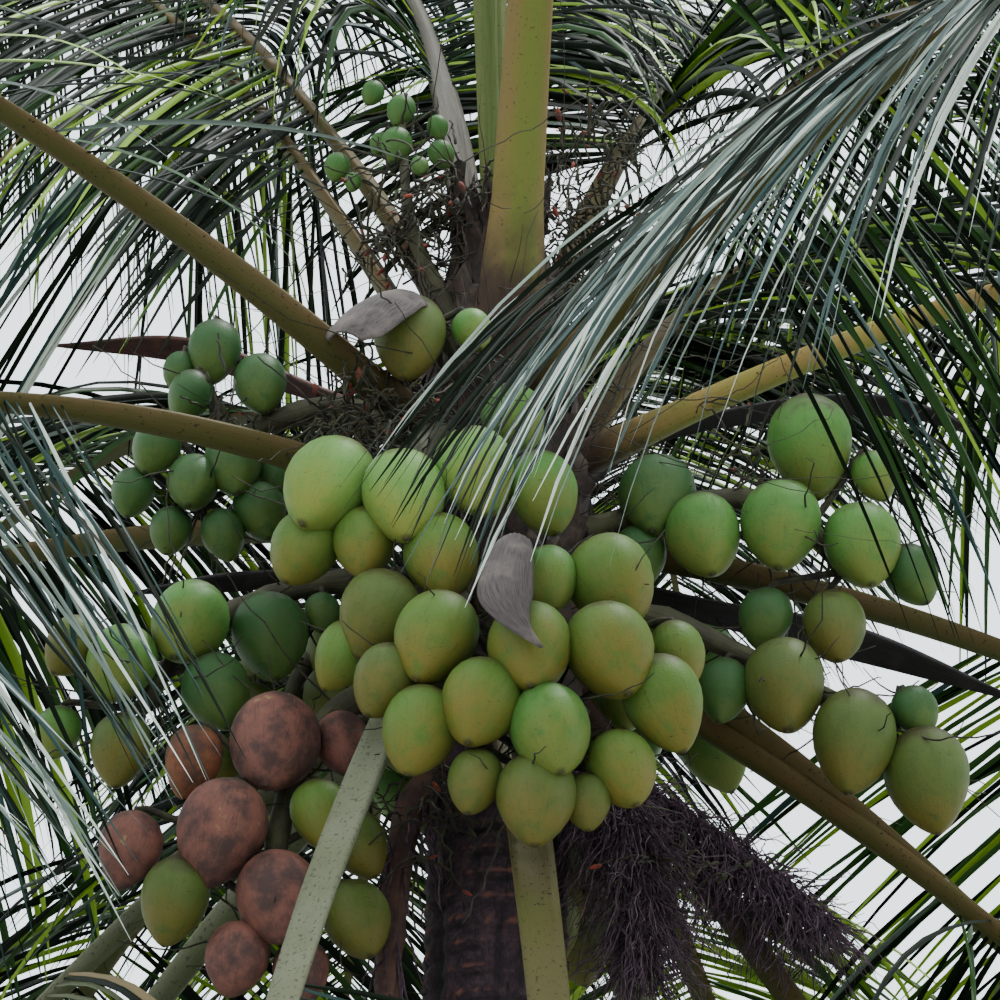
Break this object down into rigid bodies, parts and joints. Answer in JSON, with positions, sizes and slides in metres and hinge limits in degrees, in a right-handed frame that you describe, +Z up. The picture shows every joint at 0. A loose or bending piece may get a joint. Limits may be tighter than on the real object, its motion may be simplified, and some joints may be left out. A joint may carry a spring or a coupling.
{
  "type": "coconut palm tree",
  "caption": "Tall single-trunk palm with a ringed leaning trunk, arching feather fronds on all sides and hanging bunches of nuts.",
  "frame": {"origin": "centre of the flat cut under the trunk, at ground level", "axes": "+Z up along the trunk, -Y towards the side seen in the picture, +X to its right"},
  "size_m": [8.1669, 8.3067, 9.0303],
  "materials": {
    "trunk": "rough ringed bark",
    "frond": "leathery, slightly glossy leaflets on an olive midrib",
    "spear": "smooth folded young leaf",
    "nut": "smooth satin husk",
    "bract": "dry woody, ribbed",
    "fibre": "coarse matted fibre",
    "dead_stalk": "dry and rough"
  },
  "bodies": {
    "root": {"trunk": "trunk", "frond_front_right": "frond", "frond_front_up": "frond", "frond_left_high": "frond", "frond_left_mid": "frond", "frond_left_mid_outer": "frond", "frond_right_high": "frond", "frond_right_mid": "frond", "frond_back_left_up": "frond", "frond_front_low": "frond", "frond_front_left_low": "frond", "frond_right_low": "frond", "frond_right_lower": "frond", "frond_right_down": "frond", "frond_back_right": "frond", "frond_back_right_steep": "frond", "frond_back_right_steep_outer": "frond", "frond_right_up": "frond", "frond_right_up_outer": "frond", "frond_back_up": "frond", "frond_back_up_outer": "frond", "frond_back_high": "frond", "frond_back_high_outer": "frond", "frond_back_left_high": "frond", "frond_back_left_high_outer": "frond", "frond_back_left_steep": "frond", "frond_back_right_high": "frond", "frond_back_mid": "frond", "frond_back_left_mid": "frond", "frond_back_left": "frond", "frond_back_low": "frond", "frond_back_left_low": "frond", "frond_left_low": "frond", "frond_back_right_low": "frond", "spear": "spear", "bunch_front_upper": "nut", "bunch_front_lower": "nut", "bunch_left_upper": "nut", "bunch_left_lower": "nut", "bunch_brown": "nut", "bunch_right_upper": "nut", "bunch_right_lower": "nut", "bunch_under_bract": "nut", "bunch_young": "nut", "bunch_far_right": "nut", "bunch_far_middle": "nut", "bunch_far_left": "nut", "bunch_far_low_left": "nut", "bunch_far_low": "nut", "bract_left_high": "bract", "bract_left_low": "bract", "bract_right_high": "bract", "bract_right_low": "bract", "fibre_front": "fibre", "fibre_right": "fibre", "stalk_dead": "dead_stalk"}
  },
  "joints": []
}
